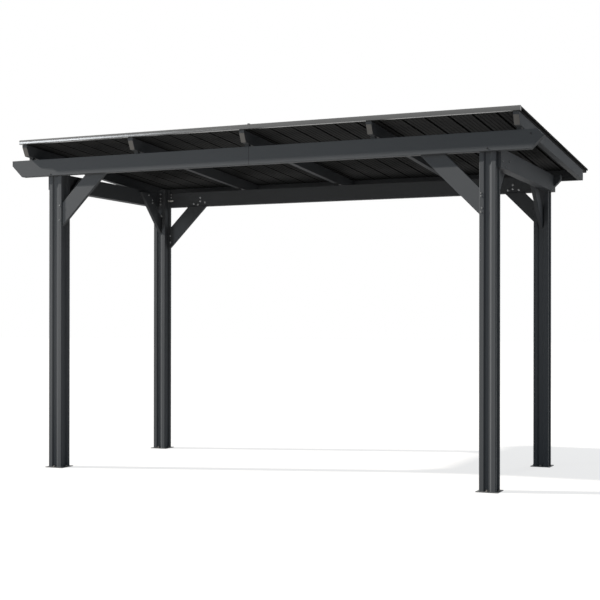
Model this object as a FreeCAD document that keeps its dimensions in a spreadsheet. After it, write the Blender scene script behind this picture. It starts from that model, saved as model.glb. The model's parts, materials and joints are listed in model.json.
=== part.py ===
import FreeCAD, Part
import os
import Sketcher
from FreeCAD import Placement, Rotation, Vector

os.makedirs("parts", exist_ok=True)
doc = FreeCAD.newDocument("GrillGazebo")

# Driving dimensions, in millimetres.
# X runs along the long side from the middle of the bay, the front row of posts lies towards -Y,
# and heights are above the ground.
SIZES = {
    # Bay and posts
    "bay_width": 3245,
    "bay_depth": 1502,
    "post_side": 109,
    "post_wall": 2.5,
    "post_round": 4,
    "channel_mouth": 50,
    "channel_floor": 30,
    "channel_deep": 10,
    # Base plates and their anchor holes
    "plate_side": 144,
    "plate_thick": 5,
    "anchor_circle": 120,
    "anchor_hole": 12,
    "anchor_count": 4,
    # Beams: box sections, partly let into the posts
    "beam_height": 122,
    "beam_thick": 54,
    "beam_let_in": 27,
    "beam_wall": 3,
    "side_beam_thick": 65,
    "side_beam_proud": 24,
    "front_beam_top": 2260,
    "beam_drop": 97,
    "rear_post_rise": 25,
    "front_overhang": 307,
    "rear_overhang": 72,
    "end_upright": 38,
    "end_run": 84,
    "end_clip": 43,
    "beam_joint": 32,
    "edge_round": 3,
    # Knee braces: flat boxes at 45 degrees
    "brace_thick": 27,
    "brace_set_back": 10,
    "brace_face": 168,
    "short_brace_face": 152,
    "front_left_reach": 368,
    "front_right_reach": 392,
    "rear_left_reach": 351,
    "rear_right_reach": 236,
    "side_brace_face": 140,
    "left_side_reach": 225,
    "right_side_reach": 283,
    "side_brace_lap": 98,
    # Rafters, the wedges under them and the boards between their rear ends
    "rafter_width": 38,
    "rafter_depth": 80,
    "rafter_front": 118,
    "rafter_rake": 32,
    "rafter_lip": 20,
    "rafter_rear": 403,
    "outer_rafter": 1826,
    "second_rafter": 926,
    "middle_rafter": 52,
    "fourth_rafter": 862,
    "front_wedge_high": 18,
    "rear_wedge_high": 16,
    "wedge_width": 30,
    "wedge_length": 30,
    "rear_board_thick": 18,
    # Roof sheets and the trims round them
    "roof_front": 171,
    "roof_rear": 528,
    "sheet_side_lap": 13.5,
    "sheet_thick": 2,
    "sheet_ribs": 6,
    "rib_high": 26,
    "rib_crown": 10,
    "rib_flank": 4,
    "pan_beads": 4,
    "bead_width": 10,
    "bead_high": 2,
    "fascia_high": 31,
    "fascia_thick": 21,
    "fascia_joint": 8,
    "cover_width": 12,
    "cover_rise": 5,
    "verge_high": 14,
    "verge_thick": 3,
}

sizes = doc.addObject("Spreadsheet::Sheet", "Sizes")
for row, (alias, value) in enumerate(SIZES.items(), start=1):
    sizes.set(f"A{row}", alias)
    sizes.set(f"B{row}", str(value))
    sizes.setAlias(f"B{row}", alias)
doc.recompute()

# Lines and levels that follow from the driving dimensions, as expressions.
HALF_BAY = "(Sizes.bay_width / 2)"
HALF_POST = "(Sizes.post_side / 2)"
PROUD = "(Sizes.beam_thick - Sizes.beam_let_in)"
FRONT_ROW = "((Sizes.roof_front - Sizes.bay_depth - Sizes.roof_rear) / 2)"
REAR_ROW = f"({FRONT_ROW} + Sizes.bay_depth)"
FRONT_FACE = f"({FRONT_ROW} - {HALF_POST} - {PROUD})"
FRONT_BACK = f"({FRONT_FACE} + Sizes.beam_thick)"
REAR_FACE = f"({REAR_ROW} + {HALF_POST} - Sizes.beam_let_in)"
REAR_BACK = f"({REAR_FACE} + Sizes.beam_thick)"
SIDE_FACE = f"({HALF_BAY} + {HALF_POST} + Sizes.side_beam_proud - Sizes.side_beam_thick)"
LOW_TOP = "(Sizes.front_beam_top - Sizes.beam_drop)"
FRONT_UNDER = "(Sizes.front_beam_top - Sizes.beam_height)"
LOW_UNDER = f"({LOW_TOP} - Sizes.beam_height)"
LAP_LEVEL = f"({LOW_TOP} - Sizes.beam_height / 2)"
RAFTER_OVER_FRONT = "(Sizes.front_beam_top + Sizes.front_wedge_high)"
RAFTER_OVER_REAR = f"({LOW_TOP} + Sizes.rear_wedge_high)"
SLOPE = f"(({RAFTER_OVER_FRONT} - {RAFTER_OVER_REAR}) / ({REAR_FACE} - {FRONT_FACE}))"
ROOF_EDGE = f"({FRONT_ROW} - Sizes.roof_front)"
ROOF_HALF = "(Sizes.outer_rafter + Sizes.rafter_width / 2 + Sizes.sheet_side_lap)"
RAFTERS = {
    "rafter_1": "-Sizes.outer_rafter",
    "rafter_2": "-Sizes.second_rafter",
    "rafter_3": "-Sizes.middle_rafter",
    "rafter_4": "Sizes.fourth_rafter",
    "rafter_5": "Sizes.outer_rafter",
}


def number(expression):
    """The value of an expression with the sizes as they stand."""
    return float(sizes.evalExpression(expression))


def rafter_under(place):
    """Height of the underside of the rafters at a place along Y."""
    return f"({RAFTER_OVER_FRONT} - {SLOPE} * ({place} - {FRONT_FACE} - Sizes.beam_thick / 2))"


def handed(side, expression):
    """The expression on the right or rear side, its negative on the left or front side."""
    return expression if side > 0 else f"-({expression})"


def new_body(label, base):
    """A body placed by three expressions."""
    body = doc.addObject("PartDesign::Body", label)
    body.Label = label
    for axis, expression in zip("xyz", base):
        body.setExpression(f"Placement.Base.{axis}", expression)
    return body


def origin_item(body, role):
    """The plane or axis of the body's own origin that has this role."""
    return next(item for item in body.Origin.OriginFeatures if item.Role == role)


def new_sketch(body, plane, name, offset="0"):
    """An empty sketch on one of the body's origin planes."""
    sketch = body.newObject("Sketcher::SketchObject", name)
    sketch.AttachmentSupport = [(origin_item(body, plane), "")]
    sketch.MapMode = "FlatFace"
    sketch.setExpression("AttachmentOffset.Base.z", offset)
    return sketch


def add_loop(sketch, corners):
    """A closed run of straight edges whose corners are held by pairs of expressions."""
    first = sketch.GeometryCount
    points = [Vector(number(u), number(v), 0) for u, v in corners]
    following = points[1:] + points[:1]
    for point, after in zip(points, following):
        sketch.addGeometry(Part.LineSegment(point, after), False)
    for index, (u, v) in enumerate(corners):
        edge = first + index
        after = first + (index + 1) % len(corners)
        sketch.addConstraint(Sketcher.Constraint("Coincident", edge, 2, after, 1))
        for kind, expression in (("DistanceX", u), ("DistanceY", v)):
            rule = sketch.addConstraint(Sketcher.Constraint(kind, edge, 1, number(expression)))
            sketch.setExpression(f"Constraints[{rule}]", expression)


def add_feature(body, kind, name, sketch, length, reverse=False, middle=False):
    """A pad or a pocket of a sketch, to a length given by an expression."""
    feature = body.newObject(f"PartDesign::{kind}", name)
    feature.Profile = sketch
    feature.Reversed = reverse
    feature.Midplane = middle
    feature.setExpression("Length", length)
    sketch.Visibility = False
    return feature


def rectangle(low_u, high_u, low_v, high_v):
    """Corners of an upright rectangle."""
    return [(low_u, low_v), (high_u, low_v), (high_u, high_v), (low_u, high_v)]


def box_along_y(body, corners, thick):
    """A plate with this face in XZ, going back from the body's origin."""
    face = new_sketch(body, "XZ_Plane", "Face")
    add_loop(face, corners)
    return add_feature(body, "Pad", "Box", face, thick, reverse=True)


def box_along_x(body, corners, thick):
    """A plate with this face in YZ, going right from the body's origin."""
    face = new_sketch(body, "YZ_Plane", "Face")
    add_loop(face, corners)
    return add_feature(body, "Pad", "Box", face, thick)


def round_edges(body, solid, chosen):
    """Small rounds on the straight edges whose run from end to end is chosen."""
    doc.recompute()
    edges = [f"Edge{index}" for index, edge in enumerate(solid.Shape.Edges, start=1)
             if chosen(edge.Vertexes[1].Point - edge.Vertexes[0].Point)]
    rounding = body.newObject("PartDesign::Fillet", "RoundedEdges")
    rounding.Base = (solid, edges)
    rounding.setExpression("Radius", "Sizes.edge_round")


def is_long(run):
    """Whether an edge runs along a beam or a rafter, and not across it."""
    return max(abs(run.x), abs(run.y)) > number("2 * Sizes.beam_height")


def is_slanted(run):
    """Whether an edge runs up along a knee brace."""
    return (abs(run.x) > 1 or abs(run.y) > 1) and abs(run.z) > 1


# Post: a rolled square tube with a channel down the middle of each face,
# notched at its top for the two beams that it carries. The rear posts stand a little
# higher than their beams.
def channelled_square(inset):
    """Corners of the post's section, moved inwards by inset along every face."""
    face = f"({HALF_POST} - {inset})"
    floor = f"({HALF_POST} - Sizes.channel_deep - {inset})"
    mouth_half = f"(Sizes.channel_mouth / 2 + {inset} / 2)"
    floor_half = f"(Sizes.channel_floor / 2 + {inset} / 2)"
    u_side = [(face, f"-{face}"), (face, f"-{mouth_half}"), (floor, f"-{floor_half}"),
              (floor, floor_half), (face, mouth_half)]
    corners = []
    for turn in range(4):
        corners += u_side
        u_side = [(f"(-{v})" if not v.startswith("-") else v[1:], u) for u, v in u_side]
    return corners


def make_post(label, side, row):
    top = "Sizes.front_beam_top" if row < 0 else f"{LOW_TOP} + Sizes.rear_post_rise"
    under = FRONT_UNDER if row < 0 else LOW_UNDER
    length = f"({top} - Sizes.plate_thick)"
    body = new_body(label, (handed(side, HALF_BAY), FRONT_ROW if row < 0 else REAR_ROW, "Sizes.plate_thick"))
    section = new_sketch(body, "XY_Plane", "Section")
    add_loop(section, channelled_square("0"))
    tube = add_feature(body, "Pad", "Tube", section, length)
    doc.recompute()
    half = number(HALF_POST)
    outer = [f"Edge{index}" for index, edge in enumerate(tube.Shape.Edges, start=1)
             if all(abs(abs(v.X) - half) < 0.01 and abs(abs(v.Y) - half) < 0.01 for v in edge.Vertexes)]
    rounding = body.newObject("PartDesign::Fillet", "RoundedCorners")
    rounding.Base = (tube, outer)
    rounding.setExpression("Radius", "Sizes.post_round")
    inside = new_sketch(body, "XY_Plane", "Inside")
    add_loop(inside, channelled_square("Sizes.post_wall"))
    add_feature(body, "Pocket", "Bore", inside, length, reverse=True)
    seat = new_sketch(body, "YZ_Plane", "BeamSeat")
    add_loop(seat, rectangle(handed(row, f"{HALF_POST} - Sizes.beam_let_in"), handed(row, "Sizes.post_side"),
                             f"{under} - Sizes.plate_thick", f"{length} + Sizes.plate_thick"))
    add_feature(body, "Pocket", "BeamNotch", seat, "2 * Sizes.post_side", middle=True)
    nose = f"{FRONT_ROW} - {FRONT_BACK}" if row < 0 else "Sizes.post_side"
    side_seat = new_sketch(body, "XZ_Plane", "SideSeat", offset=nose)
    side_top = f"{LOW_TOP} - Sizes.plate_thick" if row < 0 else f"{length} + Sizes.plate_thick"
    add_loop(side_seat, rectangle(handed(side, f"{SIDE_FACE} - {HALF_BAY}"), handed(side, "Sizes.post_side"),
                                  f"{LOW_UNDER} - Sizes.plate_thick", side_top))
    add_feature(body, "Pocket", "SideNotch", side_seat, "2 * Sizes.post_side")


# Base plate: a thin square plate with an anchor hole at the foot of each channel.
def make_base_plate(label, side, row):
    body = new_body(label, (handed(side, HALF_BAY), FRONT_ROW if row < 0 else REAR_ROW, "0"))
    half = "(Sizes.plate_side / 2)"
    square = new_sketch(body, "XY_Plane", "Square")
    add_loop(square, rectangle(f"-{half}", half, f"-{half}", half))
    add_feature(body, "Pad", "Plate", square, "Sizes.plate_thick")
    circle = new_sketch(body, "XY_Plane", "AnchorCircle")
    reach = number("Sizes.anchor_circle / 2")
    hole_size = number("Sizes.anchor_hole")
    circle.addGeometry(Part.Circle(Vector(reach, 0, 0), Vector(0, 0, 1), hole_size / 2), False)
    circle.addConstraint(Sketcher.Constraint("PointOnObject", 0, 3, -1))
    circle.addConstraint(Sketcher.Constraint("DistanceX", 0, 3, reach))
    circle.addConstraint(Sketcher.Constraint("Diameter", 0, hole_size))
    circle.setExpression("Constraints[1]", "Sizes.anchor_circle / 2")
    circle.setExpression("Constraints[2]", "Sizes.anchor_hole")
    hole = add_feature(body, "Pocket", "AnchorHole", circle, "2 * Sizes.plate_thick", middle=True)
    ring = body.newObject("PartDesign::PolarPattern", "AnchorHoles")
    ring.Originals = [hole]
    ring.Axis = (origin_item(body, "Z_Axis"), [""])
    ring.Angle = 360
    ring.setExpression("Occurrences", "Sizes.anchor_count")
    body.Tip = ring


# Front and rear beams: two box halves each, that meet at a joint in the bay.
# The outer ends are closed: plumb above, then cut back at a slant to the underside. The front
# beam's right end is clipped above as well, and the rear halves are lapped over the side beams.
def make_beam_half(label, side, row):
    overhang = "Sizes.front_overhang" if row < 0 else "Sizes.rear_overhang"
    top = "Sizes.front_beam_top" if row < 0 else LOW_TOP
    under = FRONT_UNDER if row < 0 else LOW_UNDER
    joint = "-Sizes.beam_joint"
    tip = f"({HALF_BAY} + {HALF_POST} + {overhang})"
    cut = f"({tip} - Sizes.end_run)"
    end = [(handed(side, tip), top), (handed(side, tip), f"{top} - Sizes.end_upright")]
    if row < 0 and side > 0:
        end = [(f"{tip} - Sizes.end_clip", top), (tip, f"{top} - Sizes.end_clip")]
    body = new_body(label, ("0", FRONT_FACE if row < 0 else REAR_FACE, "0"))
    box = box_along_y(body, [(joint, under), (joint, top)] + end + [(handed(side, cut), under)],
                      "Sizes.beam_thick")
    round_edges(body, box, is_long)
    hollow = new_sketch(body, "XZ_Plane", "Hollow", offset="-Sizes.beam_wall")
    add_loop(hollow, rectangle(joint, handed(side, f"{cut} - Sizes.beam_wall"),
                               f"{under} + Sizes.beam_wall", f"{top} - Sizes.beam_wall"))
    add_feature(body, "Pocket", "Bore", hollow, "Sizes.beam_thick - 2 * Sizes.beam_wall")
    if row > 0:
        lap = new_sketch(body, "XZ_Plane", "SideBeamLap")
        add_loop(lap, rectangle(handed(side, SIDE_FACE), handed(side, f"{SIDE_FACE} + Sizes.side_beam_thick"),
                                f"{under} - Sizes.beam_wall", LAP_LEVEL))
        add_feature(body, "Pocket", "Lap", lap, "Sizes.beam_thick")


# Side beam: from the back of the front beam to the back of the rear beam, halved under the latter.
def make_side_beam(label, side):
    start = SIDE_FACE if side > 0 else f"(-{SIDE_FACE} - Sizes.side_beam_thick)"
    body = new_body(label, (start, "0", "0"))
    box = box_along_x(body, [(FRONT_BACK, LOW_UNDER), (REAR_BACK, LOW_UNDER), (REAR_BACK, LAP_LEVEL),
                             (REAR_FACE, LAP_LEVEL), (REAR_FACE, LOW_TOP), (FRONT_BACK, LOW_TOP)],
                      "Sizes.side_beam_thick")
    round_edges(body, box, is_long)


# Knee brace in the front or rear face of the frame, set back a little from the posts' outer faces.
# The rear right one is a shorter, narrower board.
def make_brace(place, side, row):
    reach = f"Sizes.{place}_reach"
    face = "Sizes.short_brace_face" if side > 0 and row > 0 else "Sizes.brace_face"
    under = FRONT_UNDER if row < 0 else LOW_UNDER
    near = f"({HALF_BAY} - {HALF_POST})"
    front = f"({FRONT_ROW} - {HALF_POST} + Sizes.brace_set_back)"
    rear = f"({REAR_ROW} + {HALF_POST} - Sizes.brace_set_back - Sizes.brace_thick)"
    body = new_body(f"{place}_brace", ("0", front if row < 0 else rear, "0"))
    box = box_along_y(body, [(handed(side, near), f"{under} - {reach}"),
                             (handed(side, f"{near} - {reach}"), under),
                             (handed(side, f"{near} - {reach} + {face}"), under),
                             (handed(side, near), f"{under} - {reach} + {face}")], "Sizes.brace_thick")
    round_edges(body, box, is_slanted)


# Knee brace along a side: its foot stands in the post's channel and its head laps the side beam.
def make_side_brace(label, side, row):
    reach = "Sizes.right_side_reach" if side > 0 else "Sizes.left_side_reach"
    foot = f"({FRONT_ROW} + {HALF_POST} - Sizes.channel_deep)"
    if row > 0:
        foot = f"({REAR_ROW} - {HALF_POST} + Sizes.channel_deep)"
    away = "+" if row < 0 else "-"
    low = f"({LOW_UNDER} - {reach})"
    high = f"({LOW_UNDER} + Sizes.side_brace_lap)"
    run = f"({reach} + Sizes.side_brace_lap)"
    start = f"({SIDE_FACE} - Sizes.brace_thick)" if side > 0 else f"(-{SIDE_FACE})"
    body = new_body(label, (start, "0", "0"))
    box = box_along_x(body, [(foot, low), (f"{foot} {away} {run}", high),
                             (f"{foot} {away} ({run} - Sizes.side_brace_face)", high),
                             (foot, f"{low} + Sizes.side_brace_face")], "Sizes.brace_thick")
    round_edges(body, box, is_slanted)


# Rafter: a box down the slope, its front end raked back under a short upright lip.
def make_rafter(label, middle):
    body = new_body(label, (f"{middle} - Sizes.rafter_width / 2", "0", "0"))
    foot = f"({FRONT_ROW} - Sizes.rafter_front)"
    tip = f"({foot} - Sizes.rafter_rake)"
    tail = f"({REAR_ROW} + Sizes.rafter_rear)"
    tip_top = f"({rafter_under(tip)} + Sizes.rafter_depth)"
    box = box_along_x(body, [(foot, rafter_under(foot)), (tail, rafter_under(tail)),
                             (tail, f"{rafter_under(tail)} + Sizes.rafter_depth"), (tip, tip_top),
                             (tip, f"{tip_top} - Sizes.rafter_lip")], "Sizes.rafter_width")
    round_edges(body, box, is_long)


# Rear board: closes the space between two rafters, flush with their rear ends.
def make_rear_board(label, left, right):
    start = f"({left} + Sizes.rafter_width / 2)"
    end = f"({right} - Sizes.rafter_width / 2)"
    back = f"({REAR_ROW} + Sizes.rafter_rear)"
    front = f"({back} - Sizes.rear_board_thick)"
    body = new_body(label, (start, "0", "0"))
    box_along_x(body, [(front, rafter_under(front)), (back, rafter_under(back)),
                       (back, f"{rafter_under(back)} + Sizes.rafter_depth"),
                       (front, f"{rafter_under(front)} + Sizes.rafter_depth")], f"{end} - {start}")


# Wedges: small seats between a beam and the rafters over it, cut to the slope.
def make_wedges(label, beam_front, beam_top, rafters):
    low = number(f"{beam_front} + Sizes.beam_thick / 2 - Sizes.wedge_length / 2")
    high = low + number("Sizes.wedge_length")
    base = number(beam_top)
    width = number("Sizes.wedge_width")
    seats = []
    for rafter in rafters:
        left = number(f"{RAFTERS[rafter]} - Sizes.wedge_width / 2")
        corners = [Vector(left, low, base), Vector(left, high, base),
                   Vector(left, high, number(rafter_under(str(high)))),
                   Vector(left, low, number(rafter_under(str(low))))]
        side_face = Part.Face(Part.makePolygon(corners + corners[:1]))
        seats.append(side_face.extrude(Vector(width, 0, 0)))
    feature = doc.addObject("Part::Feature", label)
    feature.Label = label
    feature.Shape = Part.makeCompound(seats)


# Everything on top of the rafters is drawn in bodies whose XY plane lies on the slope,
# with their origin at the front edge of the roof.
def slope_body(label, across):
    top_level = f"{rafter_under(ROOF_EDGE)} + Sizes.rafter_depth"
    body = new_body(label, (across, ROOF_EDGE, top_level))
    body.Placement = Placement(body.Placement.Base, Rotation(Vector(1, 0, 0), -1))
    body.setExpression("Placement.Rotation.Angle", f"-atan({SLOPE})")
    return body


SHEETS = 4
SHEET_WIDTH = f"(2 * ({ROOF_HALF} - Sizes.verge_thick) / {SHEETS})"
SLANT = f"sqrt(1 + {SLOPE} ^ 2)"
SHEET_LENGTH = f"((Sizes.roof_front + Sizes.bay_depth + Sizes.roof_rear) * {SLANT} - Sizes.fascia_thick)"


# Roof sheet: one width of ribbed sheet, from the middle of one rib's crown to another's,
# with small stiffening beads pressed up along each pan.
def sheet_line(pitch, spread, lift):
    """One rib pitch of the sheet's lower face, its rib widened by spread and all of it lifted."""
    crown = f"(Sizes.rib_crown / 2 + {spread})"
    pan = f"({crown} + Sizes.rib_flank)"
    high = f"(Sizes.rib_high + {lift})"
    line = [("0", high), (crown, high), (pan, lift)]
    beads = int(number("Sizes.pan_beads"))
    for bead in range(1, beads + 1):
        middle = f"(Sizes.rib_crown / 2 + Sizes.rib_flank) * (1 - 2 * {bead / (beads + 1)})"
        middle = f"({middle} + {pitch} * {bead / (beads + 1)})"
        line += [(f"{middle} - Sizes.bead_width / 2", lift), (middle, f"Sizes.bead_high + {lift}"),
                 (f"{middle} + Sizes.bead_width / 2", lift)]
    return line + [(f"{pitch} - {pan}", lift), (f"{pitch} - {crown}", high), (pitch, high)]


def make_roof_sheet(label, place):
    body = slope_body(label, f"-{ROOF_HALF} + Sizes.verge_thick + {place} * {SHEET_WIDTH}")
    pitch = f"({SHEET_WIDTH} / Sizes.sheet_ribs)"
    under = sheet_line(pitch, "0", "0")
    above = sheet_line(pitch, "Sizes.sheet_thick", "Sizes.sheet_thick")
    section = new_sketch(body, "XZ_Plane", "RibSection", offset="-Sizes.fascia_thick")
    add_loop(section, under + above[::-1])
    rib = add_feature(body, "Pad", "Rib", section, SHEET_LENGTH, reverse=True)
    row = body.newObject("PartDesign::LinearPattern", "Ribs")
    row.Originals = [rib]
    row.Direction = (origin_item(body, "X_Axis"), [""])
    row.Mode = "Spacing"
    row.setExpression("Offset", pitch)
    row.setExpression("Occurrences", "Sizes.sheet_ribs")
    body.Tip = row


# Front fascia in two lengths, with a cover over their joint, and a verge strip down each side.
def make_fascia(label, start, end, high):
    body = slope_body(label, start)
    box_along_x(body, rectangle("0", "Sizes.fascia_thick", "0", high), f"({end}) - ({start})")


def make_verge(label, side):
    body = slope_body(label, f"{ROOF_HALF} - Sizes.verge_thick" if side > 0 else f"-{ROOF_HALF}")
    top = "(Sizes.rib_high + Sizes.sheet_thick)"
    back = f"(Sizes.fascia_thick + {SHEET_LENGTH})"
    box_along_x(body, rectangle("Sizes.fascia_thick", back, f"{top} - Sizes.verge_high", top),
                "Sizes.verge_thick")


for side, side_name in ((-1, "left"), (1, "right")):
    for row, row_name in ((-1, "front"), (1, "rear")):
        make_post(f"{row_name}_{side_name}_post", side, row)
        make_base_plate(f"{row_name}_{side_name}_base_plate", side, row)
        make_beam_half(f"{row_name}_beam_{side_name}", side, row)
        make_brace(f"{row_name}_{side_name}", side, row)
        make_side_brace(f"{side_name}_side_{row_name}_brace", side, row)
    make_side_beam(f"{side_name}_side_beam", side)
    make_verge(f"{side_name}_verge_strip", side)

for label, middle in RAFTERS.items():
    make_rafter(label, middle)
names = list(RAFTERS)
for place, (left, right) in enumerate(zip(names, names[1:]), start=1):
    make_rear_board(f"rear_board_{place}", RAFTERS[left], RAFTERS[right])
make_wedges("front_rafter_wedges", FRONT_FACE, "Sizes.front_beam_top", names)
make_wedges("rear_rafter_wedges", REAR_FACE, LOW_TOP, names[1:-1])

for place in range(SHEETS):
    make_roof_sheet(f"roof_sheet_{place + 1}", place)
cover_left = "Sizes.fascia_joint - Sizes.cover_width / 2"
cover_right = "Sizes.fascia_joint + Sizes.cover_width / 2"
make_fascia("front_fascia_left", f"-{ROOF_HALF}", cover_left, "Sizes.fascia_high")
make_fascia("front_fascia_right", cover_right, ROOF_HALF, "Sizes.fascia_high")
make_fascia("fascia_joint_cover", cover_left, cover_right, "Sizes.fascia_high + Sizes.cover_rise")
doc.recompute()

# Nothing is written unless every object and every shape is sound.
for item in doc.Objects:
    if "Invalid" in item.State or "Error" in item.State:
        raise RuntimeError(f"{item.Label} did not recompute: {item.State}")
nodes = [item for item in doc.Objects
         if item.TypeId == "PartDesign::Body" or item.TypeId == "Part::Feature"]
for node in nodes:
    if node.Shape.isNull() or not node.Shape.isValid() or not node.Shape.Solids:
        raise RuntimeError(f"{node.Label} has no sound solid")
for node in nodes:
    node.Shape.exportStep(f"parts/{node.Label}.step")
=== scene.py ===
import json
import math

import bpy
import numpy as np
from mathutils import Matrix, Vector


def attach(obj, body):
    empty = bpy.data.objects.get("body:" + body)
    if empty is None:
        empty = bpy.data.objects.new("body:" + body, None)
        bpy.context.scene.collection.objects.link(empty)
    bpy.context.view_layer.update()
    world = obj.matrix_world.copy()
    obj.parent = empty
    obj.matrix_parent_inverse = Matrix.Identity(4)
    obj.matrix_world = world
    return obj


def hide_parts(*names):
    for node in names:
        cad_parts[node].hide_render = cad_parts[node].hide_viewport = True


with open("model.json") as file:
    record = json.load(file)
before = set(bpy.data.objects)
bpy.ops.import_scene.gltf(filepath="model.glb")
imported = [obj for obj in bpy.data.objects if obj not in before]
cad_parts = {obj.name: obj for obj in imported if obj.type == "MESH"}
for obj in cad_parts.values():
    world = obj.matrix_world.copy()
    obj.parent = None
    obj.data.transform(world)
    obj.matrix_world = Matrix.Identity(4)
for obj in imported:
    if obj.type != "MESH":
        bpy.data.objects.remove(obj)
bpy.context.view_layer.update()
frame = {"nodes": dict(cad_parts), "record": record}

nodes = frame["nodes"]

# The view of the photograph: the camera stands in front of the right-hand end at breast
# height and looks to the left, level, so the posts stay upright in the picture.
PICTURE = 600
PRINCIPAL = (303.62, 322.47)
FOCAL_PIXELS = 1222.58
TURN, TILT, ROLL = 0.4116, 0.0006, 0.0013
CAMERA_PLACE = Vector((3.6331, -8.4698, 1.060))
camera_data = bpy.data.cameras.new("camera")
camera_data.sensor_width = 36.0
camera_data.lens = FOCAL_PIXELS * camera_data.sensor_width / PICTURE
camera_data.shift_x = (PICTURE / 2 - PRINCIPAL[0]) / PICTURE
camera_data.shift_y = (PRINCIPAL[1] - PICTURE / 2) / PICTURE
camera_data.clip_end = 200.0
camera = bpy.data.objects.new("camera", camera_data)
bpy.context.scene.collection.objects.link(camera)
level_ahead = Vector((-math.sin(TURN), math.cos(TURN), 0.0))
across = Vector((math.cos(TURN), math.sin(TURN), 0.0))
upward = Vector((0.0, 0.0, 1.0))
ahead = math.cos(TILT) * level_ahead + math.sin(TILT) * upward
above = math.cos(TILT) * upward - math.sin(TILT) * level_ahead
right = math.cos(ROLL) * across + math.sin(ROLL) * above
top = math.cos(ROLL) * above - math.sin(ROLL) * across
turned = Matrix((right, top, -ahead)).transposed().to_4x4()
camera.matrix_world = Matrix.Translation(CAMERA_PLACE) @ turned
bpy.context.scene.camera = camera

# The light: a key lamp from high on the left that grazes the front faces, a soft box low
# in front of the left end, whose light falls off along the front, a pale board that lies
# before the front and throws light up under the eaves, and a weaker box behind the object.
KEY_FROM = Vector((-3.1, -1.0, 2.35))
BOX_PLACE, BOX_AIM = Vector((-8.0, -9.6, 4.2)), Vector((-0.5, -0.5, 1.8))
BOARD_PLACE = Vector((-3.2, -3.9, 0.02))
BACK_PLACE, BACK_AIM = Vector((4.2, 9.5, 4.5)), Vector((0.0, 0.5, 1.6))
WARM_KEY, WARM_BOARD = (1.0, 0.93, 0.85), (1.0, 0.93, 0.84)
COOL_BOX, PLAIN = (0.93, 0.97, 1.0), (1.0, 1.0, 1.0)


def add_lamp(data, energy, colour, away, place=(0.0, 0.0, 0.0)):
    """Puts a lamp at its place, turned so that it shines against the away direction."""
    data.energy = energy
    data.color = colour
    lamp = bpy.data.objects.new(data.name, data)
    lamp.location = place
    lamp.rotation_mode = "QUATERNION"
    lamp.rotation_quaternion = away.to_track_quat("Z", "Y")
    bpy.context.scene.collection.objects.link(lamp)
    return lamp


def area_lamp(name, sizes, energy, colour, place, aim):
    """A rectangular soft lamp that the camera doesn't see, shining from its place to its aim."""
    data = bpy.data.lights.new(name, "AREA")
    data.shape = "RECTANGLE"
    data.size, data.size_y = sizes
    lamp = add_lamp(data, energy, colour, place - aim, place)
    lamp.visible_camera = False
    return lamp


key_data = bpy.data.lights.new("key", "SUN")
key_data.angle = math.radians(2.0)
add_lamp(key_data, 8.0, WARM_KEY, KEY_FROM)
area_lamp("soft_box", (2.9, 2.7), 318.0, COOL_BOX, BOX_PLACE, BOX_AIM)
area_lamp("bounce_board", (9.0, 3.6), 165.0, WARM_BOARD, BOARD_PLACE, BOARD_PLACE + upward)
area_lamp("back_box", (3.0, 3.0), 280.0, PLAIN, BACK_PLACE, BACK_AIM).visible_glossy = False


def feed(tree, socket, value):
    """Links another node's output to a socket, or writes a plain value on it."""
    if isinstance(value, bpy.types.NodeSocket):
        tree.links.new(value, socket)
    else:
        socket.default_value = value


def math_node(tree, operation, first, second=None):
    """The result of one arithmetic operation on one or two sockets or numbers."""
    node = tree.nodes.new("ShaderNodeMath")
    node.operation = operation
    feed(tree, node.inputs[0], first)
    if second is not None:
        feed(tree, node.inputs[1], second)
    return node.outputs[0]


def seen_background(tree, strength):
    """A value that is strength for camera, glossy and transmission rays, and 0 for others."""
    path = tree.nodes.new("ShaderNodeLightPath").outputs
    direct = math_node(tree, "MAXIMUM", path["Is Camera Ray"], path["Is Glossy Ray"])
    any_seen = math_node(tree, "MAXIMUM", direct, path["Is Transmission Ray"])
    return math_node(tree, "MULTIPLY", any_seen, strength)


SKY_BLUE, SKY_STRENGTH = (0.74, 0.88, 1.0, 1.0), 0.32
WHITE, FULL = (1.0, 1.0, 1.0, 1.0), 1.0
world = bpy.data.worlds.new("surround")
bpy.context.scene.world = world
world.use_nodes = True
tree = world.node_tree
tree.nodes.clear()
output = tree.nodes.new("ShaderNodeOutputWorld")
mix = tree.nodes.new("ShaderNodeMixShader")
sky = tree.nodes.new("ShaderNodeBackground")
sky.inputs["Color"].default_value = SKY_BLUE
sky.inputs["Strength"].default_value = SKY_STRENGTH
white = tree.nodes.new("ShaderNodeBackground")
white.inputs["Color"].default_value = WHITE
white.inputs["Strength"].default_value = FULL
tree.links.new(seen_background(tree, FULL), mix.inputs["Fac"])
tree.links.new(sky.outputs[0], mix.inputs[1])
tree.links.new(white.outputs[0], mix.inputs[2])
tree.links.new(mix.outputs[0], output.inputs["Surface"])
bpy.context.scene.view_settings.view_transform = "Standard"

# The floor: a wide pale sheet on which the four base plates stand. It takes the shadow, and
# a lift that only seen rays meet brings its lit part up to the white of the background.
FLOOR_REACH = 60.0
FLOOR_GREY, FLOOR_LIFT = (0.18, 0.18, 0.18, 1.0), 0.76


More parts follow.
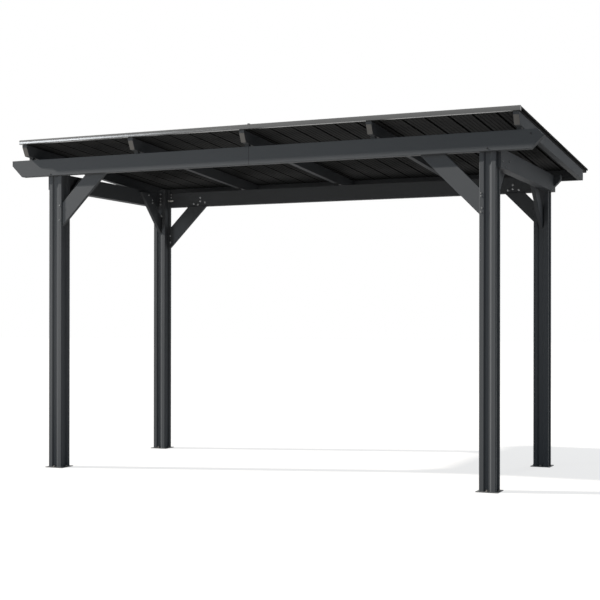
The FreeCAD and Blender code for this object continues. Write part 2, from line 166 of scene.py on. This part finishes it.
def grid_mesh(name, points, closed=False):
    """A mesh whose vertices are one or more arrays of rows by columns by 3, and whose faces
    join each point to the next one along and the next row, round again where closed."""
    rows, columns = points.shape[-3:-1]
    sheets = points.reshape(-1, rows, columns, 3)
    spans = columns if closed else columns - 1
    sheet, row, column = np.meshgrid(np.arange(len(sheets)), np.arange(rows - 1),
                                     np.arange(spans), indexing="ij")
    here = (sheet * rows + row) * columns
    after = (column + 1) % columns
    quads = np.stack([here + column, here + columns + column,
                      here + columns + after, here + after], -1)
    mesh = bpy.data.meshes.new(name)
    mesh.from_pydata(sheets.reshape(-1, 3).tolist(), [], quads.reshape(-1, 4).tolist())
    made = bpy.data.objects.new(name, mesh)
    bpy.context.scene.collection.objects.link(made)
    return made


edge = np.array([-FLOOR_REACH, FLOOR_REACH])
floor_x, floor_y = np.meshgrid(edge, edge, indexing="ij")
floor = grid_mesh("floor", np.stack([floor_x, floor_y, np.zeros((2, 2))], -1))
floor_paint = bpy.data.materials.new("floor_paint")
floor_paint.use_nodes = True
tree = floor_paint.node_tree
tree.nodes.clear()
output = tree.nodes.new("ShaderNodeOutputMaterial")
pale = tree.nodes.new("ShaderNodeBsdfDiffuse")
pale.inputs["Color"].default_value = FLOOR_GREY
lift = tree.nodes.new("ShaderNodeEmission")
lift.inputs["Color"].default_value = WHITE
total = tree.nodes.new("ShaderNodeAddShader")
tree.links.new(seen_background(tree, FLOOR_LIFT), lift.inputs["Strength"])
tree.links.new(pale.outputs[0], total.inputs[0])
tree.links.new(lift.outputs[0], total.inputs[1])
tree.links.new(total.outputs[0], output.inputs["Surface"])
floor.data.materials.append(floor_paint)

# The frame: posts, beams, braces and rafters are rolled and folded metal with a satin
# powder coat, dark blue-grey, baked on before assembly. Plates, seats and trim have theirs.
CLOUD_SCALE, CLOUD_DETAIL, GLOSS_SPREAD = 3.0, 4.0, 0.06
PEEL_SCALE, PEEL_STRENGTH, PEEL_DEEP = 900.0, 0.08, 0.0004


def mapped(tree, value, from_range, to_range):
    """A value brought from one range into another and held inside it."""
    node = tree.nodes.new("ShaderNodeMapRange")
    node.inputs["From Min"].default_value, node.inputs["From Max"].default_value = from_range
    node.inputs["To Min"].default_value, node.inputs["To Max"].default_value = to_range
    tree.links.new(value, node.inputs["Value"])
    return node.outputs["Result"]


def mixed(tree, blend, factor, first, second):
    """A node that mixes two colours, each of them a socket or a plain colour."""
    node = tree.nodes.new("ShaderNodeMix")
    node.data_type = "RGBA"
    node.blend_type = blend
    feed(tree, node.inputs["Factor"], factor)
    feed(tree, node.inputs["A"], first)
    feed(tree, node.inputs["B"], second)
    return node


def powder_coat(name, colour, rough, mottle, metal=0.0, gloss_level=0.13):
    """A painted surface: a base colour with a slow cloud of lighter and darker paint,
    a fine orange-peel bump, and gloss that varies a little from place to place."""
    paint = bpy.data.materials.new(name)
    paint.use_nodes = True
    tree = paint.node_tree
    links = tree.links
    shader = tree.nodes["Principled BSDF"]
    shader.inputs["Specular IOR Level"].default_value = gloss_level
    shader.inputs["Metallic"].default_value = metal
    place = tree.nodes.new("ShaderNodeTexCoord")
    cloud = tree.nodes.new("ShaderNodeTexNoise")
    cloud.inputs["Scale"].default_value = CLOUD_SCALE
    cloud.inputs["Detail"].default_value = CLOUD_DETAIL
    shade = mapped(tree, cloud.outputs["Fac"], (0.0, 1.0), (1.0 - mottle, 1.0 + mottle))
    tint = mixed(tree, "MULTIPLY", 1.0, (*colour, 1.0), shade)
    tint.name = "tint"
    gloss = mapped(tree, cloud.outputs["Fac"], (0.0, 1.0),
                   (rough - GLOSS_SPREAD, rough + GLOSS_SPREAD))
    peel = tree.nodes.new("ShaderNodeTexNoise")
    peel.inputs["Scale"].default_value = PEEL_SCALE
    bump = tree.nodes.new("ShaderNodeBump")
    bump.inputs["Strength"].default_value = PEEL_STRENGTH
    bump.inputs["Distance"].default_value = PEEL_DEEP
    links.new(place.outputs["Object"], cloud.inputs["Vector"])
    links.new(place.outputs["Object"], peel.inputs["Vector"])
    links.new(tint.outputs["Result"], shader.inputs["Base Color"])
    links.new(gloss, shader.inputs["Roughness"])
    links.new(peel.outputs["Fac"], bump.inputs["Height"])
    links.new(bump.outputs["Normal"], shader.inputs["Normal"])
    return paint


frame_paint = powder_coat("frame_paint", (0.0625, 0.0675, 0.0735), 0.58, 0.05, gloss_level=0.05)
trim_paint = powder_coat("trim_paint", (0.018, 0.019, 0.021), 0.5, 0.04, gloss_level=0.05)
fascia_paint = powder_coat("fascia_paint", (0.040, 0.042, 0.043), 0.21, 0.04, gloss_level=1.0)
seat_paint = powder_coat("seat_paint", (0.04, 0.043, 0.046), 0.6, 0.05)
plate_paint = powder_coat("plate_paint", (0.085, 0.09, 0.095), 0.5, 0.06)

# The roof sheets: thin ribbed sheet with the frame's colour on its weather side and a near-black
# underside, which is painted shade. Lighter and darker lines follow the pressed beads: partly
# dust, partly painted shade in the bead grooves.
ROOF_PITCH, LINES_A_PITCH = 0.154625, 5
# Line strengths across the beads: partly dust, partly painted shade in the bead grooves.
BEAD_DUST_AND_SHADE, WEATHER_RANGE = (1.5, 0.5), (0.05, 0.15)
# The near-black underside colour is painted shade; the weather side has the frame's colour.
PAINTED_SHADE_UNDERSIDE, WEATHER_SIDE = (0.009, 0.0094, 0.0094), (0.058, 0.062, 0.066)


def component(tree, vector, axis):
    """The X, Y or Z part of a vector socket."""
    parts = tree.nodes.new("ShaderNodeSeparateXYZ")
    tree.links.new(vector, parts.inputs["Vector"])
    return parts.outputs[axis]


roof_paint = powder_coat("roof_paint", PAINTED_SHADE_UNDERSIDE, 0.6, 0.06, gloss_level=0.015)
tree = roof_paint.node_tree
tint = tree.nodes["tint"]
place = tree.nodes.new("ShaderNodeTexCoord")
# Lighter and darker lines across the beads: partly dust, partly painted shade in their grooves.
phase = math_node(tree, "MULTIPLY", component(tree, place.outputs["Object"], "X"),
                  2.0 * math.pi * LINES_A_PITCH / ROOF_PITCH)
wave = math_node(tree, "COSINE", phase)
depth = mapped(tree, wave, (-1.0, 1.0), BEAD_DUST_AND_SHADE)
facing = tree.nodes.new("ShaderNodeNewGeometry")
weather = mapped(tree, component(tree, facing.outputs["Normal"], "Z"), WEATHER_RANGE, (0.0, 1.0))
# Faces turned down get the painted-shade colour, faces turned up the frame's colour.
sides = mixed(tree, "MIX", weather, (*PAINTED_SHADE_UNDERSIDE, 1.0), (*WEATHER_SIDE, 1.0))
bead_dust_and_shade_tint = mixed(tree, "MULTIPLY", 1.0, tint.outputs["Result"], depth)
tree.links.new(sides.outputs["Result"], tint.inputs["A"])
tree.links.new(bead_dust_and_shade_tint.outputs["Result"], tree.nodes["Principled BSDF"].inputs["Base Color"])

PAINTS = {"frame": frame_paint, "roof_sheet": roof_paint, "roof_trim": trim_paint,
          "seat_block": seat_paint, "base_plate": plate_paint}
slots = {row["node"]: row["material_slot"] for row in frame["record"]["subparts"]}
for name, node in nodes.items():
    node.data.materials.clear()
    node.data.materials.append(fascia_paint if "fascia" in name else PAINTS[slots[name]])

# The front fascia: a folded strip, glossier than the frame, with a slightly crowned face
# and a lip that leans back to the roof at its top. It comes in two lengths.
ROOF_EDGE_Y, ROOF_EDGE_Z, ROOF_SLOPE = -1.1005, 2.3652, 0.0615
ROOF_HALF = 1.8585
FASCIA_THICK, FASCIA_HIGH, CROWN, LIP, LIP_LEAN = 0.021, 0.031, 0.0014, 0.004, 0.8
FACE_POINTS, FASCIA_JOINT = 15, (0.002, 0.014)
slant = math.sqrt(1.0 + ROOF_SLOPE ** 2)
along = np.array([0.0, 1.0, -ROOF_SLOPE]) / slant
roof_out = np.array([0.0, ROOF_SLOPE, 1.0]) / slant
roof_origin = np.array([0.0, ROOF_EDGE_Y, ROOF_EDGE_Z])
x_axis = np.array([1.0, 0.0, 0.0])


def fascia_strip(name, x_from, x_to, node):
    """A closed section swept along X. With s from 0 to 1 up the face, its depth is
    crown (2 s - 1)^2, so the middle stands furthest forward; above it the lip leans back."""
    s = np.linspace(0.0, 1.0, FACE_POINTS)
    face_high = FASCIA_HIGH - LIP
    face = np.stack([CROWN * (2.0 * s - 1.0) ** 2, face_high * s], -1)
    section = np.vstack([face, [[CROWN + LIP_LEAN * LIP, FASCIA_HIGH],
                                [FASCIA_THICK, FASCIA_HIGH], [FASCIA_THICK, 0.0]]])
    loop = roof_origin + section[:, :1] * along + section[:, 1:] * roof_out
    middle = np.broadcast_to(loop.mean(0), loop.shape)
    rows = [middle + x_from * x_axis, loop + x_from * x_axis,
            loop + x_to * x_axis, middle + x_to * x_axis]
    strip = grid_mesh(name, np.array(rows), closed=True)
    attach(strip, "root")
    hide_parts(node)
    strip.data.materials.append(fascia_paint)


fascia_strip("fascia_strip_left", -ROOF_HALF, FASCIA_JOINT[0], "front_fascia_left")
fascia_strip("fascia_strip_right", FASCIA_JOINT[1], ROOF_HALF, "front_fascia_right")

# Screws of the frame: hexagonal heads on pressed washers. They hold the brace heads to the
# beams, their feet to the posts, and the beams to each other. Most brace screws are zinc,
# the others are painted.
POST_X, FRONT_Y, HALF_POST = 1.6225, -0.9295, 0.0545
FRONT_FACE, FRONT_BACK, REAR_FACE = -1.011, -0.957, 0.600
REAR_BRACE_FACE = 0.590
SIDE_OUT, SIDE_BRACE_IN = 1.701, 1.609
LEFT, RIGHT, AHEAD, BACK, UP = (-1, 0, 0), (1, 0, 0), (0, -1, 0), (0, 1, 0), (0, 0, 1)
SCREW = dict(flats=0.008, high=0.0055, flange=0.012)
BOLT = dict(flats=0.011, high=0.007, flange=0.016)
FLANGE_THICK, NECK_HIGH, NECK_WIDE = 0.18, 0.288, 1.04
SHOULDER_HIGH, TOP_WIDE = 0.9, 0.86
SKEW = (0.3, 0.5, 0.8)


def screw_heads(name, seats, outward, flats, high, flange, sides=24):
    """Hexagonal heads on round flanges. Round each axis a point is seat + h n + r (u cos t +
    v sin t), n being outward and u and v square to it, from a skew direction. On the flange
    r is constant; on the head, with a half the width across flats, r = a / cos(t mod 60
    degrees - 30 degrees)."""
    seats = np.asarray(seats, float).reshape(-1, 1, 1, 3)
    outward = np.asarray(outward, float)
    u = np.cross(outward, SKEW)
    u /= np.linalg.norm(u)
    v = np.cross(outward, u)
    turn = np.arange(sides) * 2.0 * np.pi / sides
    sixth = np.pi / 3.0
    hexagon = flats / 2.0 / np.cos(turn % sixth - sixth / 2.0)
    circle = np.full(sides, flange / 2.0)
    radius = np.array([0.0 * circle, circle, circle, NECK_WIDE * hexagon, hexagon,
                       TOP_WIDE * hexagon, 0.0 * hexagon])[..., None]
    height = high * np.array([0.0, 0.0, FLANGE_THICK, NECK_HIGH, SHOULDER_HIGH, 1.0, 1.0])
    ring = u * np.cos(turn)[:, None] + v * np.sin(turn)[:, None]
    points = seats + height[:, None, None] * outward + radius * ring
    heads = grid_mesh(name, points, closed=True)
    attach(heads, "root")
    return heads


def in_face(spots, depth, axis):
    """Spots in a plane face, with the third coordinate put in at this axis."""
    return np.insert(spots, axis, depth, axis=1)


REAR_LEFT_HEAD = np.array([[-1.2745, 2.113], [-1.2745, 2.086], [-1.3375, 2.065],
                           [-1.2975, 2.056], [-1.2315, 2.075]])
REAR_RIGHT_HEAD = np.array([[1.3925, 2.104], [1.3925, 2.074], [1.3545, 2.065], [1.4385, 2.065]])
FRONT_HEADS = np.array([[-1.2265, 2.196], [-1.2265, 2.168], [1.2025, 2.196], [1.2025, 2.168]])
FOOT_LEFT = np.array([[-1.5585, 1.801], [-1.5585, 1.745]])
FOOT_RIGHT = np.array([[1.5505, 1.916], [1.5505, 1.857]])
POST_STRIPS = np.array([[-1.5845, 1.920], [-1.5845, 1.814], [1.5805, 1.880], [1.5805, 1.861],
                        [1.5865, 1.785], [1.5805, 1.760]])
FRONT_BEAM_SPOTS = np.array([[-1.6455, 2.148], [1.6265, 2.155], [1.9015, 2.232]])
SIDE_SPOTS = np.array([[-0.9235, 2.079], [-0.7435, 2.097], [-0.8345, 2.054], [0.5195, 2.048]])
SIDE_HEAD_SPOTS = np.array([[0.3205, 2.124], [0.3775, 2.085], [0.3785, 2.062],
                            [-0.6775, 2.124], [-0.7345, 2.085], [-0.7355, 2.062]])
screw_paint = powder_coat("screw_paint", (0.14, 0.145, 0.15), 0.42, 0.08, metal=0.3)
cap_paint = powder_coat("cap_paint", (0.03, 0.032, 0.035), 0.5, 0.05)
screw_zinc = powder_coat("screw_zinc", (0.30, 0.31, 0.32), 0.4, 0.08, metal=0.8)
FRAME_SCREWS = [
    ("rear_left_brace_screws", in_face(REAR_LEFT_HEAD, REAR_FACE, 1), AHEAD, BOLT, screw_zinc),
    ("rear_right_brace_screws", in_face(REAR_RIGHT_HEAD, REAR_FACE, 1), AHEAD, BOLT, screw_zinc),
    ("rear_left_foot_screws", in_face(FOOT_LEFT, REAR_BRACE_FACE, 1), AHEAD, BOLT, screw_zinc),
    ("rear_right_foot_caps", in_face(FOOT_RIGHT, REAR_BRACE_FACE, 1), AHEAD, BOLT, cap_paint),
    ("front_brace_screws", in_face(FRONT_HEADS, FRONT_BACK, 1), BACK, SCREW, screw_zinc),
    ("post_strip_screws", in_face(POST_STRIPS, FRONT_Y - HALF_POST, 1), AHEAD, SCREW,
     screw_paint),
    ("front_beam_screws", in_face(FRONT_BEAM_SPOTS, FRONT_FACE, 1), AHEAD, SCREW, cap_paint),
    ("right_side_beam_screws", in_face(SIDE_SPOTS, SIDE_OUT, 0), RIGHT, SCREW, screw_paint),
    ("left_side_beam_screws", in_face(SIDE_SPOTS, -SIDE_OUT, 0), LEFT, SCREW, screw_paint),
    ("left_side_brace_screws", in_face(SIDE_HEAD_SPOTS, -SIDE_BRACE_IN, 0), RIGHT, BOLT,
     screw_zinc),
    ("right_side_brace_screws", in_face(SIDE_HEAD_SPOTS, SIDE_BRACE_IN, 0), LEFT, BOLT,
     screw_zinc)]
for name, seats, outward, kind, paint in FRAME_SCREWS:
    heads = screw_heads(name, seats, outward, **kind)
    heads.data.materials.append(paint)

# Anchors: a stud through each hole of the base plates, with a washer and a nut, standing
# at the foot of the post's channels.
REAR_Y, ANCHOR_REACH, PLATE_TOP = 0.5725, 0.060, 0.005
NUT = dict(flats=0.015, high=0.008, flange=0.020)
STUD_WIDE, STUD_FROM, STUD_TO, STUD_ROWS = 0.008, 0.006, 0.012, 24
THREAD_PITCH, THREAD_DEEP, CHAMFER_HIGH, CHAMFER_WIDE = 0.0015, 0.12, 0.0008, 0.8
posts = np.array([[x, y] for x in (-POST_X, POST_X) for y in (FRONT_Y, REAR_Y)])
compass = np.array([[1.0, 0.0], [0.0, 1.0], [-1.0, 0.0], [0.0, -1.0]])
anchor_xy = (posts[:, None, :] + ANCHOR_REACH * compass[None]).reshape(-1, 2)
anchor_seats = in_face(anchor_xy, PLATE_TOP, 2)


def studs(name, seats, sides=24):
    """Upright threaded ends: r = width/2 (1 - d/2 (1 - cos(2 pi h / pitch))) at height h,
    closed by a chamfer at the top."""
    height = np.linspace(STUD_FROM, STUD_TO, STUD_ROWS)
    groove = 0.5 * (1.0 - np.cos(2.0 * np.pi * height / THREAD_PITCH))
    radius = STUD_WIDE / 2.0 * (1.0 - THREAD_DEEP * groove)
    height = np.append(height, [STUD_TO + CHAMFER_HIGH, STUD_TO + CHAMFER_HIGH])
    radius = np.append(radius, [STUD_WIDE / 2.0 * CHAMFER_WIDE, 0.0])
    turn = np.arange(sides) * 2.0 * np.pi / sides
    ring = np.stack([np.cos(turn), np.sin(turn), np.zeros(sides)], -1)
    points = (seats.reshape(-1, 1, 1, 3) + height[:, None, None] * np.array(UP, float)
              + radius[:, None, None] * ring)
    ends = grid_mesh(name, points, closed=True)
    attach(ends, "root")
    return ends


nuts = screw_heads("anchor_nuts", anchor_seats, UP, **NUT)
stud_ends = studs("anchor_studs", anchor_seats)
anchor_steel = powder_coat("anchor_steel", (0.12, 0.115, 0.11), 0.5, 0.08, metal=0.3)
for piece in (nuts, stud_ends):
    piece.data.materials.append(anchor_steel)

# Roof screws: seven rows of washer-head screws on every other rib crown, and stitching
# screws down the ribs where two sheets lap.
RIB_TOP, VERGE, RIBS, RIBS_A_SHEET = 0.028, 0.003, 25, 6
SCREW_ROWS = np.array([0.06, 0.42, 0.80, 1.18, 1.56, 1.94, 2.15])
LAP_ROWS = np.arange(0.2, 2.1, 0.19)
WASHER_SCREW = dict(flats=0.008, high=0.006, flange=0.014, sides=12)
rib_x = -ROOF_HALF + VERGE + ROOF_PITCH * np.arange(RIBS)
roof_screw_paint = powder_coat("roof_screw_paint", (0.05, 0.052, 0.052), 0.45, 0.05)


def rib_screws(name, ribs, rows):
    """Screws on these ribs' crowns at these distances down the roof from its front edge."""
    screw_x, screw_down = np.meshgrid(ribs, rows, indexing="ij")
    seats = (roof_origin + screw_down[..., None] * along + RIB_TOP * roof_out
             + screw_x[..., None] * x_axis)
    heads = screw_heads(name, seats, roof_out, **WASHER_SCREW)
    heads.data.materials.append(roof_screw_paint)


rib_screws("roof_screws", rib_x[1:-1:2], SCREW_ROWS)
rib_screws("lap_screws", rib_x[RIBS_A_SHEET:-1:RIBS_A_SHEET], LAP_ROWS)

# Board screws: two at each end of the rear boards, in their back faces.
RAFTER_X = np.array([-1.826, -0.926, -0.052, 0.862, 1.826])
BOARD_BACK, BOARD_UNDER, BOARD_INSET = 0.9755, 2.1575, 0.045
BOARD_SCREW_UP = np.array([0.02, 0.06])
board_ends = np.concatenate([RAFTER_X[:-1] + BOARD_INSET, RAFTER_X[1:] - BOARD_INSET])
board_x, board_z = np.meshgrid(board_ends, BOARD_UNDER + BOARD_SCREW_UP, indexing="ij")
board_seats = np.stack([board_x, np.full_like(board_x, BOARD_BACK), board_z], -1)
board_screws = screw_heads("rear_board_screws", board_seats, BACK, **SCREW)
board_screws.data.materials.append(screw_paint)

# The front beam's joint: the beam is in two lengths, and a thin dark band runs round the line
# where they meet, down the face, under the beam and up its back. Its darkness is painted
# shade, standing in for the shadow in the gap of the joint.
JOINT_X, JOINT_SHADE_HALF, JOINT_SHADE_PROUD = -0.032, 0.0012, 0.0004
BEAM_THICK, BEAM_HIGH, BEAM_TOP = 0.054, 0.122, 2.260


def joint_shade_band(name, face_y, top_z):
    """A closed band round a beam: a rectangle path in YZ, at x = joint -/+ half its width."""
    low_y, high_y = face_y - JOINT_SHADE_PROUD, face_y + BEAM_THICK + JOINT_SHADE_PROUD
    low_z, high_z = top_z - BEAM_HIGH - JOINT_SHADE_PROUD, top_z + JOINT_SHADE_PROUD
    path = np.array([[low_y, low_z], [high_y, low_z], [high_y, high_z], [low_y, high_z],
                     [low_y, low_z]])
    joint_shade_x = JOINT_X + JOINT_SHADE_HALF * np.array([-1.0, 1.0])
    x = np.broadcast_to(joint_shade_x[:, None], (2, len(path)))
    y, z = np.broadcast_to(path[:, 0], x.shape), np.broadcast_to(path[:, 1], x.shape)
    band = grid_mesh(name, np.stack([x, y, z], -1))
    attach(band, "root")
    return band


# Painted shade: the band's dark colour stands in for the shadow in the joint's gap.
joint_shade_paint = powder_coat("joint_shade_paint", (0.012, 0.012, 0.013), 0.7, 0.05, gloss_level=0.1)
joint_shade_band("front_beam_joint_shade", FRONT_FACE, BEAM_TOP).data.materials.append(joint_shade_paint)

# Rafter end caps: a thin paler plate closes the raked front end of each rafter, under the
# short upright lip, which keeps the frame's colour. The plate's pale warm colour is painted
# light, standing in for the warm light thrown up from the ground onto the raked ends.
CAP_LOW, CAP_HIGH = np.array([-1.0475, 2.2820]), np.array([-1.0795, 2.3440])
CAP_HALF, CAP_THICK, CAP_MARGIN = 0.0175, 0.0010, 0.02


def plates(name, corner_rings, outward, thick):
    """Flat plates: each ring of four corners and the same ring moved outward by thick, with
    both ends closed at the ring's middle."""
    ring = np.asarray(corner_rings, float)
    lifted = ring + thick * np.asarray(outward, float)
    middle = np.broadcast_to(ring.mean(-2, keepdims=True), ring.shape)
    lifted_middle = np.broadcast_to(lifted.mean(-2, keepdims=True), ring.shape)
    made = grid_mesh(name, np.stack([middle, ring, lifted, lifted_middle], -3), closed=True)
    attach(made, "root")
    return made


up_face = CAP_HIGH - CAP_LOW
cap_out = np.array([0.0, -up_face[1], up_face[0]]) / np.linalg.norm(up_face)
low_edge, high_edge = CAP_LOW + CAP_MARGIN * up_face, CAP_HIGH - CAP_MARGIN * up_face
corner_x = RAFTER_X[:, None] + CAP_HALF * np.array([-1.0, 1.0, 1.0, -1.0])
corner_yz = np.array([low_edge, low_edge, high_edge, high_edge])
corner_yz = np.broadcast_to(corner_yz, (len(RAFTER_X), *corner_yz.shape))
cap_corners = np.concatenate([corner_x[..., None], corner_yz], -1)
painted_light_caps = plates("rafter_painted_light_caps", cap_corners, cap_out, CAP_THICK)
# Painted light: the caps' pale warm colour stands in for ground bounce on the raked ends.
painted_light_cap_paint = powder_coat("painted_light_cap_paint", (0.078, 0.076, 0.073), 0.5, 0.05, gloss_level=0.3)
painted_light_caps.data.materials.append(painted_light_cap_paint)

# Corner clips: where the rear beam meets the rear posts, a small angle is screwed to both,
# and a column of bolts in the post's front channel draws post and beam together.
CLIP_LONG, CLIP_WIDE, CLIP_THICK, CLIP_Z = 0.034, 0.013, 0.003, 2.095
CLIP_BOLT_X, CLIP_BOLT_Z = 1.5575, (2.125, 2.152)
CHANNEL_FLOOR_Y, COLUMN_X, COLUMN_Z = 0.528, 1.6180, (2.065, 2.092, 2.113, 2.150)
INNER_X = POST_X - HALF_POST
leg_z = CLIP_Z + CLIP_WIDE * np.array([-0.5, -0.5, 0.5, 0.5])
leg_run = CLIP_LONG * np.array([0.0, 1.0, 1.0, 0.0])
beam_legs = [np.stack([side * (leg_run - INNER_X), np.full(4, REAR_FACE), leg_z], -1)
             for side in (1, -1)]
post_legs = [np.stack([np.full(4, side * INNER_X), REAR_FACE - leg_run, leg_z], -1)
             for side in (-1, 1)]
clips = [plates("beam_clip_legs", beam_legs, AHEAD, CLIP_THICK),
         plates("left_post_clip_leg", post_legs[0], RIGHT, CLIP_THICK),
         plates("right_post_clip_leg", post_legs[1], LEFT, CLIP_THICK)]
clip_seats = [[x, REAR_FACE, z] for x in (-CLIP_BOLT_X, CLIP_BOLT_X) for z in CLIP_BOLT_Z]
column_seats = [[x, CHANNEL_FLOOR_Y, z] for x in (-COLUMN_X, COLUMN_X) for z in COLUMN_Z]
clip_bolts = screw_heads("corner_clip_bolts", clip_seats, AHEAD, **BOLT)
column = screw_heads("post_column_bolts", column_seats, AHEAD, **BOLT)
clip_zinc = powder_coat("clip_zinc", (0.70, 0.70, 0.67), 0.42, 0.06, metal=0.4)
for piece in clips + [clip_bolts, column]:
    piece.data.materials.append(screw_zinc if "bolts" in piece.name else clip_zinc)
